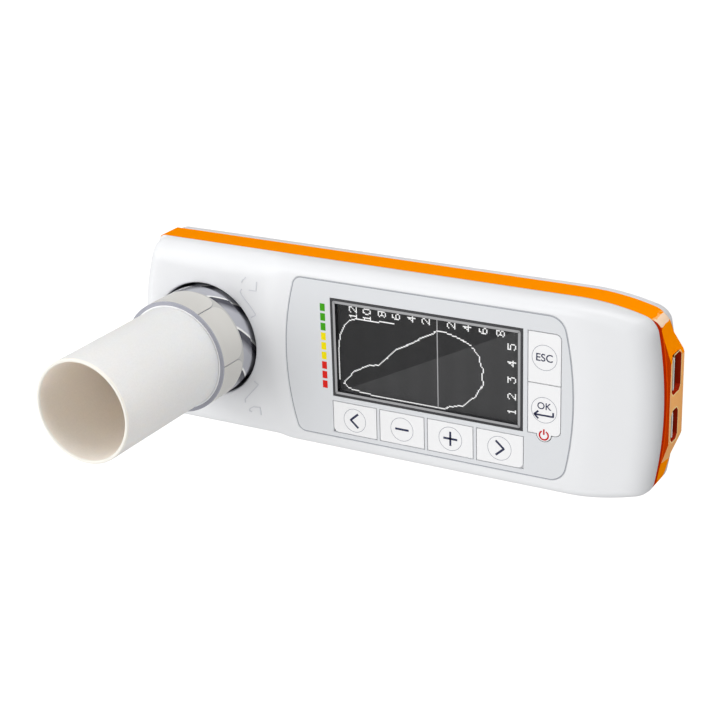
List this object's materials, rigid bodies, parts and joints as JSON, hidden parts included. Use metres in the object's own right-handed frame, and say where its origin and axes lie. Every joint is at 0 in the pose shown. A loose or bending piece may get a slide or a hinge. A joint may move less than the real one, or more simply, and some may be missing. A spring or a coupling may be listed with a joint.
{
  "type": "handheld spirometer",
  "caption": "Handheld spirometer: flat case with a keypad and graph display, a clear turbine that locks into its head, and a slip-in cardboard mouthpiece tube.",
  "frame": {"origin": "middle of the case on its flat back face, which is the bottom centre of the bounding box", "axes": "+X along the case towards the connector end, +Y to the top long edge as the display is read, +Z out of the display, the way the mouthpiece points"},
  "size_m": [0.16, 0.0552, 0.0835],
  "materials": {
    "shell_white": "satin moulded",
    "band_orange": "satin moulded",
    "overlay_grey": "fine matt film",
    "key_white": "smooth matt",
    "bezel_dark": "gloss",
    "window_clear": "clear",
    "display_dark": "gloss",
    "backlight_white": "matt",
    "board_green": "satin lacquer",
    "chip_black": "matt",
    "steel": "bright",
    "battery_film": "film",
    "seat_dark": "matt moulded",
    "turbine_clear": "clear moulded",
    "vane_grey": "smooth",
    "rotor_grey": "smooth",
    "bearing_brass": "turned",
    "lens_dark": "gloss",
    "tube_card": "smooth coated"
  },
  "bodies": {
    "case": {"front_shell": "shell_white", "rear_shell": "shell_white", "battery_door": "shell_white", "middle_band": "band_orange", "keypad_overlay": "overlay_grey", "display_bezel": "bezel_dark", "display_window": "window_clear", "lcd_glass": "display_dark", "backlight_panel": "backlight_white", "key_domes": "steel", "main_board": "board_green", "emitter_board": "board_green", "detector_board": "board_green", "usb_socket": "steel", "sensor_socket": "steel", "battery_pack": "battery_film", "battery_contacts": "chip_black", "buzzer": "chip_black", "processor_chip": "chip_black", "radio_module": "steel", "turbine_seat": "seat_dark", "infrared_emitter": "lens_dark", "infrared_detector": "lens_dark", "case_screw_1": "steel", "board_screw_1": "steel", "case_screw_2": "steel", "board_screw_2": "steel", "case_screw_3": "steel", "board_screw_3": "steel", "case_screw_4": "steel", "board_screw_4": "steel", "battery_door_screw": "steel"},
    "key_back_body": {"key_back": "key_white"},
    "key_minus_body": {"key_minus": "key_white"},
    "key_plus_body": {"key_plus": "key_white"},
    "key_forward_body": {"key_forward": "key_white"},
    "key_esc_body": {"key_esc": "key_white"},
    "key_ok_body": {"key_ok": "key_white"},
    "turbine": {"turbine_housing": "turbine_clear", "front_swirler": "vane_grey", "rear_swirler": "vane_grey", "front_bearing": "bearing_brass", "rear_bearing": "bearing_brass"},
    "rotor": {"rotor_vane": "rotor_grey", "rotor_axle": "steel"},
    "mouthpiece_tube": {"mouthpiece": "tube_card"}
  },
  "joints": [
    {"name": "key_back_press", "type": "slide", "parent": "case", "child": "key_back_body", "axis": [0, 0, -1], "range_m": [0, 0.0004], "stiffness_N_per_m": 400},
    {"name": "key_minus_press", "type": "slide", "parent": "case", "child": "key_minus_body", "axis": [0, 0, -1], "range_m": [0, 0.0004], "stiffness_N_per_m": 400},
    {"name": "key_plus_press", "type": "slide", "parent": "case", "child": "key_plus_body", "axis": [0, 0, -1], "range_m": [0, 0.0004], "stiffness_N_per_m": 400},
    {"name": "key_forward_press", "type": "slide", "parent": "case", "child": "key_forward_body", "axis": [0, 0, -1], "range_m": [0, 0.0004], "stiffness_N_per_m": 400},
    {"name": "key_esc_press", "type": "slide", "parent": "case", "child": "key_esc_body", "axis": [0, 0, -1], "range_m": [0, 0.0004], "stiffness_N_per_m": 400},
    {"name": "key_ok_press", "type": "slide", "parent": "case", "child": "key_ok_body", "axis": [0, 0, -1], "range_m": [0, 0.0004], "stiffness_N_per_m": 400},
    {"name": "turbine_lock", "type": "hinge", "parent": "case", "child": "turbine", "pos_m": [-0.05725, 0, 0], "axis": [0, 0, 1], "range_deg": [0, 35]},
    {"name": "rotor_spin", "type": "hinge", "parent": "turbine", "child": "rotor", "pos_m": [-0.05725, 0, 0], "axis": [0, 0, 1], "continuous": true},
    {"name": "mouthpiece_pull", "type": "slide", "parent": "turbine", "child": "mouthpiece_tube", "axis": [0, 0, 1], "range_m": [0, 0.014]}
  ]
}
